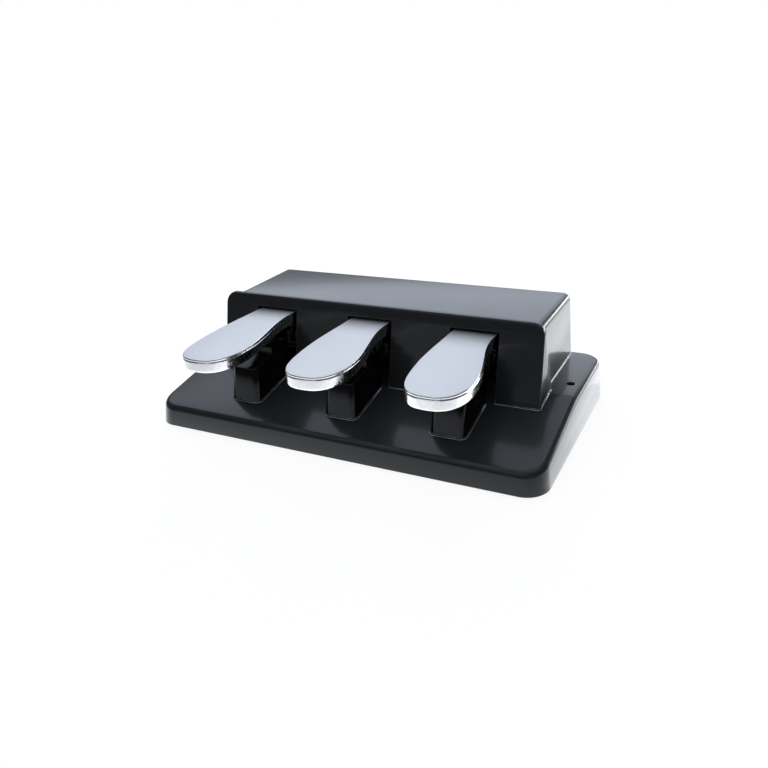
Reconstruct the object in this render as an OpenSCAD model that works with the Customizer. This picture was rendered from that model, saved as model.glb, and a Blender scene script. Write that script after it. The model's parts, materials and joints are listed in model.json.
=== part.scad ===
// Triple pedal unit for a digital piano on a stand.
// X runs to the right, Y to the back, Z up. Millimetres.
// Inside the modules Y starts at the front edge of the base and Z at its lower
// rim. in_place() moves every piece to the common origin: the middle of the
// footprint, on the surface that the rubber feet stand on.

/* [Base] */
// Overall width of the base
base_w = 340; // [300:1:400]
// Depth of the base from front to back
base_d = 190; // [170:1:230]
// Height of the front edge, where the slope would meet the front wall
front_h = 17.5; // [14:0.5:20]
// Height of the level deck behind the slope
deck_h = 34; // [30:0.5:40]
// Corner radius of the base in plan
corner_r = 18; // [14:0.5:24]
// How far the deck outline is drawn in from the lower rim
base_draft = 2.5; // [1:0.25:3.5]
// Radius of the rounded deck edge
deck_edge_r = 4; // [2:0.5:5]
// Wall of the base moulding
base_wall = 3; // [2.5:0.25:3.5]
// Thickness of the ribs under the deck
rib_t = 2; // [1.5:0.25:3]
// Height of the ribs' lower edge above the rim
rib_clear = 6; // [4:0.5:8]
// Thickness of the steel bottom plate
plate = 1.2; // [0.8:0.1:1.5]
// How far the bottom plate is set in above the lower rim
plate_z = 1.2; // [0.6:0.1:2]
// Height of the rubber feet below the rim
foot_h = 1.5; // [1:0.25:3]
// Radius of the rubber feet
foot_r = 9; // [7:0.5:11]

/* [Mounting holes] */
// Distance of the two screw holes in the deck from the sides of the base
mount_side = 13.5; // [12:0.5:15]
// Distance of those holes from the rear edge of the base
mount_rear = 70; // [60:1:78]
// Screw hole radius
mount_hole_r = 2.6; // [2:0.1:2.8]
// Radius of the recess for the screw head
mount_recess_r = 3.7; // [3.4:0.1:4.2]
// Depth of that recess
mount_recess = 6; // [4:0.5:8]

/* [Housing] */
// Height of the front panel above the level deck
housing_up = 59.6; // [54:0.2:66]
// Distance from the foot of the front panel to the foot of the rear wall
housing_d = 112.5; // [108:0.5:124]
// Distance from the foot of the front panel to the side of the base
side_margin = 24.5; // [23:0.5:27]
// Distance from the foot of the front panel back to the end of the slope
slope_in = 23; // [20:0.5:26]
// How far the front panel leans back over its height
fascia_lean = 14; // [12:0.5:15]
// How far each side of the front panel is drawn in at its top
side_draft = 1.5; // [1:0.25:2.5]
// Radius of the front panel's upper corners
fascia_r = 10; // [7:0.5:14]
// Thickness of the front panel
fascia_t = 3; // [2.5:0.25:3.5]
// Thickness of the rim around the front panel
rim_t = 3.5; // [3:0.25:4]
// Depth of that rim at its foot
rim_foot_d = 32; // [28:0.5:36]
// Depth of the rim along the top
rim_top_d = 3.4; // [3:0.2:5]
// Wall of the rear cover
cover_wall = 3; // [2.5:0.25:3.5]
// Distance from the cover's foot to the rear edge of the base
cover_back = 4.5; // [3:0.5:6]
// How far the cover's rear wall leans forward
cover_lean = 7; // [4:0.5:9]
// Radius of the cover's upper edges
cover_r = 6; // [4:0.5:7]

/* [Pedals] */
// Distance between neighbouring pedals
spacing = 90; // [80:0.5:96]
// Width of the slots in the front panel
slot_w = 40; // [36:0.5:44]
// Height of the front panel above the slots
slot_margin = 9.6; // [8.6:0.2:12]
// Gap between the pedals and the sides of the slots
neck_gap = 2; // [1.5:0.1:4]
// Gap between the pedals and the top of the slots
neck_drop = 2.2; // [1.8:0.1:3]
// Pedal width at its waist, just in front of the slot
waist_w = 35.6; // [31:0.2:38]
// Greatest pedal width
paddle_w = 47.4; // [42:0.2:54]
// How far the toe reaches over the front edge of the base
reach = 43; // [36:0.5:48]
// How far the toe swings to the right of the neck
swing = 15; // [0:0.5:20]
// Share of the length taken by the round toe
toe_share = 0.34; // [0.26:0.01:0.38]
// How round the toe is: 1 for an ellipse, less for a blunter toe
toe_round = 0.77; // [0.7:0.01:1]
// Upward slope of the pedals at rest, in degrees
tilt = 2.9; // [1:0.1:3.2]
// Thickness of the pedal's top
plate_t = 3; // [2.5:0.25:3.5]
// Height of the pedal's edge
skirt_h = 10.2; // [9:0.2:11.4]
// Thickness of the pedal's edge
skirt_t = 2.6; // [2:0.2:3]
// Travel of the pedals, in degrees
travel = 5; // [3:0.5:5.5]

/* [Lever] */
// Distance of the pivot behind the foot of the front panel
pivot_in = 77; // [69:0.5:82]
// Radius of the pivot shaft
shaft_r = 4; // [3:0.25:4.5]
// Radial clearance of the bushes on the shaft
running = 0.05; // [0.02:0.01:0.08]
// Wall of the nylon bushes
bush_t = 1.5; // [1:0.1:2]
// Thickness of the bushes' flanges
flange_t = 1.5; // [1:0.1:2]
// Wall of the lever's pivot barrel
barrel_t = 3; // [2:0.25:3.5]
// Length of that barrel
barrel_w = 22; // [18:0.5:24]
// Width of the lever
lever_w = 16; // [13:0.5:18]
// Thickness of the lever
lever_t = 5; // [4.5:0.25:5.5]
// Distance of the lever's front end from the foot of the front panel
lever_out = 53; // [46:0.5:60]
// Wire thickness of the return springs
wire = 1.8; // [1.4:0.1:2.2]
// Outer radius of the return springs
spring_r = 7; // [6.4:0.1:8]
// Turns of the return springs
turns = 7; // [6:1:8]
// Distance of the return springs in front of the pivot
spring_out = 22; // [20:0.5:25]

/* [Stop blocks] */
// Width of the blocks under the pedals
block_w = 24.4; // [22:0.2:27]
// Length of the blocks from front to back
block_len = 49; // [44:0.5:54]
// How far the blocks reach past the foot of the front panel
block_in = 5; // [4:0.5:6]
// Depth of the blocks' raised rear half below the pivot
block_below = 12; // [11:0.5:14]
// Height of the step between the two halves of the blocks
block_rise = 5.5; // [4:0.5:7]
// Length of the blocks' low front half
block_low = 24; // [20:0.5:28]
// How far the top of the front half rises towards the step
block_slope = 5.5; // [4:0.5:7]
// Radius of the blocks' upright front corners
block_r = 5; // [3:0.5:7]
// How much wider each side of the blocks is at its foot
block_flare = 2.2; // [1:0.1:3]
// How much further forward the front of the blocks is at its foot
block_lean = 3.8; // [2:0.1:5]
// Wall of the blocks
block_wall = 2.5; // [2:0.25:3]
// Radius of the rubber stops
stop_r = 7.5; // [6:0.5:8.5]

/* [Inner parts] */
// Sheet thickness of the pivot chassis
sheet = 2; // [1.5:0.25:2.5]
// Thickness of the chassis' upright ears
ear_t = 3; // [2:0.25:3.5]
// Distance from the chassis to the side of the front panel's foot
chassis_side = 19.5; // [17:0.5:21]
// Width of the stop rail from front to back
rail_w = 12; // [10:0.5:13]
// Height of the stop rail's stiffening flange
rail_h = 4; // [3:0.25:4.25]
// Thickness of the felts under the stop rail
felt_t = 3; // [2:0.25:3.5]
// Width of the circuit board
board_w = 236; // [200:1:240]
// Depth of the circuit board
board_d = 18; // [16:0.5:20]
// Thickness of the circuit board
board_t = 1.6; // [1.2:0.1:2]
// Height of the board's spacers
spacer_h = 6; // [5:0.5:8]
// Radius of the socket's bore, for a 6.35 mm plug
socket_r = 3.25; // [3.2:0.01:3.4]
// Depth of that bore
socket_depth = 24; // [20:0.5:26]
// Sideways place of the output socket
socket_x = 58; // [56:0.5:62]
// Height of the output socket above the level deck
socket_up = 24; // [21:0.5:26]

/* [Fits] */
// Gap between mouldings that meet
seam = 0.2; // [0.1:0.05:0.3]
// Gap between a stop and what it stops
rest_gap = 0.3; // [0.2:0.05:0.4]

/* [Hidden] */
SIDES = ["left", "centre", "right"];
PER_PEDAL = ["pedal", "lever", "bushes", "lever_screws", "sensor_flag",
  "return_spring", "stop_block", "stop_bumper", "optical_sensor"];
SINGLES = ["base_shell", "bottom_plate", "housing_cover", "front_fascia", "pivot_chassis",
  "stop_rail", "stop_felts", "pivot_shaft", "shaft_sleeves", "shaft_clips", "circuit_board",
  "board_spacers", "board_connector", "sensor_lead", "output_jack", "jack_nut",
  "rubber_feet", "base_screws", "housing_screws", "fascia_screws", "block_screws",
  "chassis_screws"];
$fn = 48;
eps = 0.01;
origin_y = (base_d - reach) / 2;

// Base outline at deck height and the height of the deck at a distance y
fascia_y = base_d - cover_back - housing_d;
kink_y = fascia_y + slope_in;
deck_w = base_w - 2 * base_draft;
slope = (deck_h - front_h) / (kink_y - base_draft);
function deck_z(y) = y < kink_y ? front_h + slope * (y - base_draft) : deck_h;
mount_x = base_w / 2 - mount_side;
mount_y = base_d - mount_rear;
mount_boss_r = mount_recess_r + 2.8;

// Front panel: its slant, its foot and its face at a height z
housing_h = deck_h + housing_up;
fascia_w = base_w - 2 * side_margin;
fascia_top_w = fascia_w - 2 * side_draft;
fascia_foot = deck_z(fascia_y) + seam;
lean_rate = fascia_lean / (housing_h - deck_z(fascia_y));
function fascia_face(z) = fascia_y + lean_rate * (z - deck_z(fascia_y));
rim_foot_y = fascia_y + rim_foot_d;
rim_top_y = fascia_face(housing_h) + rim_top_d;

// Rear cover: it slides into the rim with the gap of a stop
cover_inset = rim_t + rest_gap;
cover_h = housing_h - cover_inset;
cover_foot = deck_h + seam;
cover_y = base_d - cover_back;
cover_top_y = cover_y - cover_lean;
cover_front_y = kink_y + 1;
cover_front_top = fascia_face(housing_h) + fascia_t;
cover_slant = cover_lean / (cover_h - cover_foot);

// Lever frame: the pivot axis is its origin and Y runs along the lever
pivot_y = fascia_y + pivot_in;
lever_top = lever_t / 2;
pedal_top = lever_top + plate_t;
slot_top = housing_h - slot_margin;
slot_y = fascia_face(slot_top);
pivot_z = slot_top - neck_drop - pedal_top / cos(tilt) - (pivot_y - slot_y) * tan(tilt);
neck_w = slot_w - 2 * neck_gap;
neck_y = (slot_y - pivot_y) / cos(tilt);
bulge = 0.1;
toe_y = (-reach - pivot_y) / cos(tilt) - bulge + (skirt_h - 2 - pedal_top) * tan(tilt);
tail_y = neck_y + 14;
pedal_len = neck_y - toe_y;
waist_share = 0.08;
function lever_z(y, h) = pivot_z + h / cos(tilt) + (pivot_y - y) * tan(tilt);
function along_lever(y) = (y - pivot_y) / cos(tilt);
bush_r = shaft_r + running + bush_t;
barrel_r = bush_r + barrel_t;

// Stop blocks and the bumpers on them
block_end = fascia_y + block_in;
block_y = block_end - block_len;
block_step = block_y + block_low;
block_h = pivot_z - block_below;
block_front_h = block_h - block_rise - block_slope;
bumper_y = (block_step + block_end) / 2 - 1.5;
bumper_peg_r = 3;

// Chassis, stop rail and springs
chassis_w = fascia_w - 2 * chassis_side;
chassis_top = deck_h + seam + sheet;
chassis_y = [fascia_y + 20, pivot_y + 18];
ear_x = [chassis_w / 2 - ear_t / 2, spacing / 2];
ear_y = [pivot_y - 28, pivot_y + 12];
arm_h = 6;
rail_y = [fascia_y + 31, fascia_y + 31 + rail_w];
rail_z = lever_z(rail_y[0], lever_top) + rest_gap + felt_t;
felt_w = lever_w + 8;
spring_y = pivot_y - spring_out;
stud_r = spring_r - wire - 0.7;
stud_h = 3;

// Board, sensors and the flags that dip into them
board_y = [spring_y - spring_r - 5 - board_d, spring_y - spring_r - 5];
board_z = chassis_top + spacer_h;
board_top = board_z + board_t;
spacer_y = board_y[1] - 4;
spacer_x = [-board_w / 2 + 13, -spacing / 3, spacing / 3, board_w / 2 - 13];
flag_y = (board_y[0] + board_y[1]) / 2 - 1;
flag_t = 1.2;
flag_seat = 1.5;
sensor_w = 12;
sensor_d = 8;
sensor_slot = 5;
sensor_floor = 3;
sensor_h = 12;
flag_low = board_top + sensor_floor + 1.5;
flag_drop = pivot_z + (pivot_y - flag_y) * sin(tilt - travel) - lever_top - flag_seat - flag_low;

// Output socket with its pad on the rear wall, and the lead to it
jack_z = deck_h + socket_up;
jack_size = [16, 20, 16];
jack_r = socket_r + 1.75;
jack_pad_r = jack_r + 6;
jack_pad_y = cover_y - cover_slant * (jack_z - cover_foot) + 1.6;
jack_body_y = jack_pad_y - 7;
jack_rear_y = jack_body_y - jack_size[1];
jack_tip = jack_pad_y + 2.6;
nut_t = 2.2;
plug_w = 10;
plug_h = 6;
lead_r = 1.5;
lead_from = [socket_x, board_y[1], board_top + plug_h / 2];
lead_to = [socket_x, jack_rear_y, jack_z];
lead_course = [[0, 0], [0.13, 0], [0.3, 0.14], [0.5, 0.5], [0.7, 0.86], [0.87, 1], [1, 1]];
lead_path = [for (f = lead_course) [socket_x, lead_from[1] + f[0] * (lead_to[1] - lead_from[1]),
  lead_from[2] + f[1] * (lead_to[2] - lead_from[2])]];

// Screws, and their places as [x, y]
screw_r = 1.5;
head_r = 3.2;
head_h = 1.8;
boss_r = 4.5;
boss_h = 12;
seat_drop = 8;
rear_screw_y = base_d - 20;
base_screw_x = base_w / 2 - 20;
base_screw_at = concat([for (x = [-base_screw_x, base_screw_x], y = [24, rear_screw_y]) [x, y]],
  [[0, 14], [0, base_d - 16]]);
cover_screw_x = fascia_w / 2 - cover_inset - cover_wall - boss_r + 0.8;
cover_screw_at = [for (x = [-cover_screw_x, cover_screw_x], y = [cover_front_y + 5, cover_y - 11.5])
  [x, y]];
fascia_screw_y = fascia_y + fascia_t + boss_r + 0.5;
fascia_screw_x = fascia_w / 2 - rim_t - boss_r - 3.5;
fascia_screw_at = [for (x = [-fascia_screw_x, -spacing / 2, spacing / 2, fascia_screw_x])
  [x, fascia_screw_y]];
block_screw_y = [block_y + 9, block_end - 10];
block_screw_at = [for (i = [-1, 0, 1], y = block_screw_y) [i * spacing, y]];
chassis_screw_x = chassis_w / 2 - 14;
chassis_screw_y = [chassis_y[0] + 7, chassis_y[1] - 8];
chassis_screw_at = [for (x = [-chassis_screw_x, chassis_screw_x], y = chassis_screw_y) [x, y]];
lever_screw_y = [fascia_y - lever_out + 14, flag_y - 14];
foot_at = [for (x = [-base_w / 2 + 42, base_w / 2 - 42], y = [30, base_d - 30]) [x, y]];
rib_x = [-spacing * 2 / 3, spacing * 2 / 3];
rib_y = [(block_screw_y[0] + block_screw_y[1]) / 2, (chassis_screw_y[0] + chassis_screw_y[1]) / 2];

// ---------------------------------------------------------------- helpers

module in_place() { translate([0, -origin_y, foot_h]) children(); }
module along_x(w) { translate([-w / 2, 0, 0]) rotate([90, 0, 90]) linear_extrude(w) children(); }
module along_y(y0, y1) { translate([0, y1, 0]) rotate([90, 0, 0]) linear_extrude(y1 - y0) children(); }
module peg(p, r, z0, z1) { translate([p[0], p[1], z0]) cylinder(r = r, h = z1 - z0); }
module rod(x0, x1, y, z, r) { translate([x0, y, z]) rotate([0, 90, 0]) cylinder(r = r, h = x1 - x0); }
module pipe(x, y0, y1, z, r) { translate([x, y1, z]) rotate([90, 0, 0]) cylinder(r = r, h = y1 - y0); }
module on_lever(x) { translate([x, pivot_y, pivot_z]) rotate([-tilt, 0, 0]) children(); }

// Rectangle with round corners, centred on X, from y0 to y1
module round_plan(w, y0, y1, r) {
  translate([-w / 2 + r, y0]) square([w - 2 * r, y1 - y0]);
  translate([-w / 2, y0 + r]) square([w, y1 - y0 - 2 * r]);
  for (x = [r - w / 2, w / 2 - r], y = [y0 + r, y1 - r])
    translate([x, y]) circle(r);
}

// A screw from below: its head under z, its shank up into the next piece
module screw_up(p, z, length) {
  peg(p, head_r, z - head_h, z);
  peg(p, screw_r, z - eps, z + length);
}

// Points of a tube of n sides around a path, and the tube
function unit(v) = v / norm(v);
function path_dir(path, i) = unit(path[min(i + 1, len(path) - 1)] - path[max(i - 1, 0)]);
function tube_ring(c, d, r, n) =
  let (side = unit(cross(d, [0.02, 0.01, 1])), up = cross(side, d))
  [for (k = [0:n - 1]) c + r * (cos(360 * k / n) * side + sin(360 * k / n) * up)];
module tube(path, r, n) {
  points = [for (i = [0:len(path) - 1]) each tube_ring(path[i], path_dir(path, i), r, n)];
  last = (len(path) - 1) * n;
  sides = [for (i = [0:len(path) - 2], k = [0:n - 1])
    [i * n + k, i * n + (k + 1) % n, (i + 1) * n + (k + 1) % n, (i + 1) * n + k]];
  polyhedron(points, concat(sides,
    [[for (k = [n - 1:-1:0]) k], [for (k = [0:n - 1]) last + k]]), convexity = 10);
}

// A smooth curve through the points of a path
function blend(a, b, c, d, t) = 0.5 * (2 * b + (c - a) * t
  + (2 * a - 5 * b + 4 * c - d) * t * t + (3 * b - a - 3 * c + d) * t * t * t);
function smooth(p, steps) = [for (i = [0:len(p) - 2], s = [0:steps - 1])
  blend(p[max(i - 1, 0)], p[i], p[i + 1], p[min(i + 2, len(p) - 1)], s / steps), p[len(p) - 1]];

// ------------------------------------------------------------------- base

// Disc with a round rim, one corner of the deck
module rim_disc(r, e) {
  rotate_extrude($fn = 40) {
    square([r - e, e]);
    translate([r - e, 0]) intersection() {
      circle(e, $fn = 24);
      square(e);
    }
  }
}

module base_body() {
  r_top = corner_r - base_draft;
  x = base_w / 2 - corner_r;
  ring_z = front_h + slope * deck_edge_r - deck_edge_r * sqrt(1 + slope * slope);
  hull($fn = 40) {
    for (s = [-1, 1], y = [corner_r, base_d - corner_r]) {
      translate([s * x, y, 0]) cylinder(r = corner_r - 1, h = 1);
      translate([s * x, y, 1.4]) cylinder(r = corner_r, h = 1);
    }
    for (s = [-1, 1]) {
      translate([s * x, corner_r, ring_z]) multmatrix([[1, 0, 0, 0], [0, 1, 0, 0], [0, slope, 1,
        slope * (r_top - deck_edge_r)], [0, 0, 0, 1]]) rim_disc(r_top, deck_edge_r);
      translate([s * (deck_w / 2 - deck_edge_r), kink_y, deck_h - deck_edge_r])
        sphere(deck_edge_r, $fn = 24);
      translate([s * x, base_d - corner_r, deck_h - deck_edge_r]) rim_disc(r_top, deck_edge_r);
    }
  }
}

// Hollow under the deck, a wall inside the outer form
module base_hollow() {
  inner_w = deck_w - 2 * base_wall;
  y0 = base_draft + base_wall;
  intersection() {
    along_x(inner_w) polygon([[y0, -1], [base_d - y0, -1], [base_d - y0, deck_h - base_wall],
      [kink_y, deck_h - base_wall], [y0, deck_z(y0) - base_wall - slope]]);
    linear_extrude(deck_h) round_plan(inner_w, y0, base_d - y0, corner_r - base_draft - base_wall);
  }
}

module base_ribs() {
  intersection() {
    base_hollow();
    translate([0, 0, rib_clear]) {
      for (x = rib_x) translate([x - rib_t / 2, 0, 0]) cube([rib_t, base_d, deck_h]);
      for (y = rib_y) translate([-base_w / 2, y - rib_t / 2, 0]) cube([base_w, rib_t, deck_h]);
    }
  }
}

module base_bosses() {
  intersection() {
    base_hollow();
    union() {
      for (p = base_screw_at) peg(p, boss_r, plate_z + plate, deck_h);
      for (p = concat(block_screw_at, fascia_screw_at))
        peg(p, boss_r, deck_z(p[1]) - seat_drop, deck_h);
      for (s = [-1, 1]) peg([s * mount_x, mount_y], mount_boss_r, 0, deck_h);
    }
  }
}

module base_shell() {
  color([0.07, 0.07, 0.08]) difference() {
    union() {
      difference() {
        base_body();
        base_hollow();
      }
      base_ribs();
      base_bosses();
    }
    for (p = base_screw_at) peg(p, screw_r, -1, deck_z(p[1]) - base_wall - 2);
    for (p = concat(block_screw_at, fascia_screw_at, cover_screw_at, chassis_screw_at))
      peg(p, screw_r + seam, -1, deck_h + 1);
    for (s = [-1, 1]) {
      peg([s * mount_x, mount_y], mount_hole_r, -1, deck_h + 1);
      peg([s * mount_x, mount_y], mount_recess_r, deck_h - mount_recess, deck_h + 1);
    }
  }
}

module bottom_plate() {
  inset = base_draft + base_wall + rest_gap;
  color([0.35, 0.36, 0.38]) difference() {
    translate([0, 0, plate_z]) linear_extrude(plate)
      round_plan(base_w - 2 * inset, inset, base_d - inset, corner_r - inset);
    for (p = base_screw_at) peg(p, screw_r + seam, 0, deck_h);
    for (s = [-1, 1]) peg([s * mount_x, mount_y], mount_boss_r + rest_gap, 0, deck_h);
  }
}

module rubber_feet() {
  color([0.05, 0.05, 0.05]) for (p = foot_at) {
    peg(p, foot_r, -foot_h + 0.4, plate_z);
    peg(p, foot_r - 0.6, -foot_h, -foot_h + 0.4);
  }
}

module base_screws() {
  color([0.5, 0.5, 0.52]) for (p = base_screw_at) screw_up(p, plate_z, 10);
}

// ---------------------------------------------------------------- housing

// Front view of the housing, drawn in by a distance
module housing_front(inset) {
  r = fascia_r - inset;
  top = housing_h - inset;
  hull($fn = 48) {
    for (s = [-1, 1]) translate([s * (fascia_top_w / 2 - inset - r), top - r]) circle(r);
    translate([inset - fascia_w / 2, 0]) square([fascia_w - 2 * inset, deck_z(fascia_y)]);
  }
}

module fascia_wedge() {
  intersection() {
    along_x(fascia_w) polygon([[fascia_y, fascia_foot], [fascia_face(housing_h), housing_h],
      [rim_top_y, housing_h], [rim_foot_y, cover_foot], [kink_y, cover_foot]]);
    along_y(fascia_y - 1, rim_foot_y + 1) housing_front(0);
  }
}

module fascia_hollow() {
  t = fascia_t * sqrt(1 + lean_rate * lean_rate);
  intersection() {
    along_x(fascia_w) polygon([[fascia_face(0) + t, 0], [fascia_face(housing_h) + t, housing_h],
      [rim_foot_y + 9, housing_h], [rim_foot_y + 9, 0]]);
    along_y(fascia_y - 20, rim_foot_y + 9) housing_front(rim_t);
  }
}

module front_fascia() {
  color([0.06, 0.06, 0.07]) difference() {
    union() {
      difference() {
        fascia_wedge();
        fascia_hollow();
      }
      intersection() {
        fascia_wedge();
        for (p = fascia_screw_at) peg(p, boss_r, 0, deck_z(p[1]) + boss_h);
      }
    }
    for (i = [-1, 0, 1]) translate([i * spacing - slot_w / 2, fascia_y - 10, 0])
      cube([slot_w, fascia_lean + 26, slot_top]);
    for (p = fascia_screw_at) peg(p, screw_r, 0, deck_z(p[1]) + boss_h - 1);
  }
}

module cover_body() {
  x_top = fascia_top_w / 2 - cover_inset - cover_r;
  x_foot = fascia_w / 2 - cover_inset - cover_r;
  intersection() {
    hull($fn = 32) {
      along_y(cover_front_top - 12, cover_front_top - 11) intersection() {
        housing_front(cover_inset);
        translate([-fascia_w, 0]) square([2 * fascia_w, housing_h]);
      }
      for (s = [-1, 1]) {
        translate([s * x_top, cover_top_y - cover_r, cover_h - cover_r]) sphere(cover_r);
        translate([s * x_foot, cover_y - cover_r, cover_foot]) cylinder(r = cover_r, h = 1);
      }
    }
    along_x(fascia_w) polygon([[cover_front_y, cover_foot], [cover_front_top, housing_h],
      [base_d, housing_h], [base_d, cover_foot]]);
  }
}

module cover_hollow() {
  w = cover_wall;
  intersection() {
    along_x(fascia_w) polygon([[fascia_y, 0], [cover_y - w + cover_slant * cover_foot, 0],
      [cover_top_y - w, cover_h - w], [fascia_y, cover_h - w]]);
    along_y(fascia_y, cover_y) housing_front(cover_inset + w);
  }
}

module housing_cover() {
  color([0.07, 0.07, 0.08]) difference() {
    union() {
      difference() {
        cover_body();
        cover_hollow();
      }
      intersection() {
        cover_body();
        for (p = cover_screw_at) peg(p, boss_r, cover_foot, cover_foot + boss_h);
      }
      pipe(socket_x, jack_body_y, jack_pad_y, jack_z, jack_pad_r);
    }
    for (p = cover_screw_at) peg(p, screw_r, cover_foot - 1, cover_foot + boss_h - 1);
    pipe(socket_x, jack_body_y - 1, jack_pad_y + 1, jack_z, jack_r + seam);
  }
}

module housing_screws() {
  color([0.5, 0.5, 0.52]) for (p = cover_screw_at) screw_up(p, deck_h - base_wall, 13);
}

module fascia_screws() {
  color([0.5, 0.5, 0.52]) for (p = fascia_screw_at) screw_up(p, deck_z(p[1]) - seat_drop, 18);
}

// ------------------------------------------------------------ stop blocks

module block_side(inset) {
  foot = inset > 0 ? -20 : seam;
  polygon([[block_y + inset, deck_z(block_y) + foot], [block_y + inset, block_front_h - 1 - inset],
    [block_y + 1 + inset, block_front_h - inset],
    [block_step + inset, block_front_h + block_slope - inset],
    [block_step + 1 + inset, block_h - inset], [block_end - 1 - inset, block_h - inset],
    [block_end - inset, block_h - 1 - inset], [block_end - inset, deck_z(block_end) + foot]]);
}

module block_form(inset) {
  w = block_w - 2 * inset;
  r = block_r - inset;
  intersection() {
    along_x(w) block_side(inset);
    linear_extrude(block_h + 1) union() {
      round_plan(w, block_y + inset, block_end - inset, r);
      translate([-w / 2, block_step]) square([w, block_end - inset - block_step]);
    }
  }
}

// The flared skirt in front of the panel, from the foot up to the low front top
module block_skirt() {
  y1 = fascia_y - 2.4;
  foot_y = block_y - block_lean;
  intersection() {
    hull() {
      translate([0, 0, deck_z(foot_y)]) linear_extrude(eps)
        round_plan(block_w + 2 * block_flare, foot_y, y1 + 2 * block_r, block_r + 1);
      translate([0, 0, block_front_h - 1]) linear_extrude(eps)
        round_plan(block_w, block_y, y1 + 2 * block_r, block_r);
    }
    along_x(2 * block_w) polygon([[foot_y - 1, deck_z(foot_y - 1) + seam], [foot_y - 1, block_h],
      [y1, block_h], [y1, deck_z(y1) + seam]]);
  }
}

module stop_block(x) {
  color([0.03, 0.03, 0.03]) translate([x, 0, 0]) difference() {
    union() {
      difference() {
        union() {
          block_form(0);
          block_skirt();
        }
        block_form(block_wall);
      }
      for (p = block_screw_at) if (p[0] == 0) intersection() {
        block_form(0);
        union() {
          peg(p, boss_r, 0, deck_z(p[1]) + boss_h);
          translate([-block_w, p[1] - 1, 0]) cube([2 * block_w, 2, deck_z(p[1]) + boss_h]);
        }
      }
    }
    for (p = block_screw_at) if (p[0] == 0) peg(p, screw_r, 0, deck_z(p[1]) + boss_h - 1);
    peg([0, bumper_y], bumper_peg_r, block_h - block_wall - 1, block_h + 1);
  }
}

// Rubber stop under the lever: it ends where the lever comes to rest
module stop_bumper(x) {
  top = pivot_z + (pivot_y - bumper_y + stop_r) * tan(tilt - travel)
    - lever_top / cos(tilt - travel) - rest_gap;
  color([0.05, 0.05, 0.05]) translate([x, bumper_y, 0]) {
    translate([0, 0, block_h - block_wall]) cylinder(r = bumper_peg_r - 0.1, h = block_wall + eps);
    translate([0, 0, block_h]) cylinder(r = stop_r, h = top - block_h - 1.5);
    translate([0, 0, top - 1.5 - eps]) cylinder(r1 = stop_r, r2 = stop_r - 1.5, h = 1.5, $fn = 48);
  }
}

module block_screws() {
  color([0.5, 0.5, 0.52]) for (p = block_screw_at) screw_up(p, deck_z(p[1]) - seat_drop, 18);
}

// ----------------------------------------------------------------- pedals

// Half width and middle line of the pedal; u is 0 in the slot and 1 at the toe
function ease(t) = (1 - cos(180 * min(max(t, 0), 1))) / 2;
function half_w(u) = u < waist_share
  ? neck_w / 2 + (waist_w - neck_w) / 2 * ease(u / waist_share)
  : waist_w / 2 + (paddle_w - waist_w) / 2
    * ease((u - waist_share) / (1 - toe_share - waist_share));
function mid_x(u) = swing * ease(u);
function pedal_y(u) = neck_y - pedal_len * u;
body_u = [for (i = [0:15]) (neck_y - tail_y) / pedal_len
  + (1 - toe_share - (neck_y - tail_y) / pedal_len) * i / 15];
toe_a = concat([1.5, 4], [for (a = [7.5:7.5:82.5]) a], [86.5]);
function toe_u(a) = 1 - toe_share + toe_share * pow(sin(a), toe_round);
function toe_half(a) = paddle_w / 2 * pow(cos(a), toe_round);
left_side = concat([for (u = body_u) [mid_x(u) - half_w(u), pedal_y(u)]],
  [for (a = toe_a) [mid_x(toe_u(a)) - toe_half(a), pedal_y(toe_u(a))]]);
right_side = concat([for (u = body_u) [mid_x(u) + half_w(u), pedal_y(u)]],
  [for (a = toe_a) [mid_x(toe_u(a)) + toe_half(a), pedal_y(toe_u(a))]]);
n_side = len(left_side);
pedal_outline = concat(left_side, [[mid_x(1), pedal_y(1)]],
  [for (i = [n_side - 1:-1:0]) right_side[i]]);
n_out = len(pedal_outline);
function out_dir(i) =
  let (d = unit(pedal_outline[(i + 1) % n_out] - pedal_outline[(i + n_out - 1) % n_out]))
  [-d[1], d[0]];
pedal_dirs = [for (i = [0:n_out - 1]) out_dir(i)];

// The casting's section from the middle of its top, over the round bead and the
// groove, down the bulging edge and up inside: [distance drawn in, depth]
edge_section = [[1.9, 0], [0.9, 0.2], [0.15, 0.8], [0, 1.4], [0.35, 2.1], [0.8, 2.6],
  [0.45, 3.4], [bulge, 4.8], [bulge, skirt_h - 2], [0.6, skirt_h - 0.6], [1.5, skirt_h],
  [skirt_t, skirt_h - 0.3], [skirt_t + 0.4, plate_t]];

module pedal_casting() {
  rings = len(edge_section);
  points = [for (s = edge_section, i = [0:n_out - 1])
    [pedal_outline[i][0] + s[0] * pedal_dirs[i][0], pedal_outline[i][1] + s[0] * pedal_dirs[i][1],
      pedal_top - s[1]]];
  sides = [for (k = [0:rings - 2], i = [0:n_out - 1])
    [k * n_out + i, k * n_out + (i + 1) % n_out, (k + 1) * n_out + (i + 1) % n_out,
      (k + 1) * n_out + i]];
  top = [for (i = [n_out - 1:-1:0]) i];
  under = [for (i = [0:n_out - 1]) (rings - 1) * n_out + i];
  polyhedron(points, concat(sides, [top, under]), convexity = 8);
}

module pedal(x) {
  color([0.78, 0.79, 0.82]) on_lever(x) difference() {
    pedal_casting();
    translate([-lever_w / 2 - 0.5, neck_y, -skirt_h])
      cube([lever_w + 1, 20, skirt_h + lever_top]);
    for (y = lever_screw_y) peg([0, along_lever(y)], screw_r, 0, lever_top + plate_t - 1);
  }
}

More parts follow.
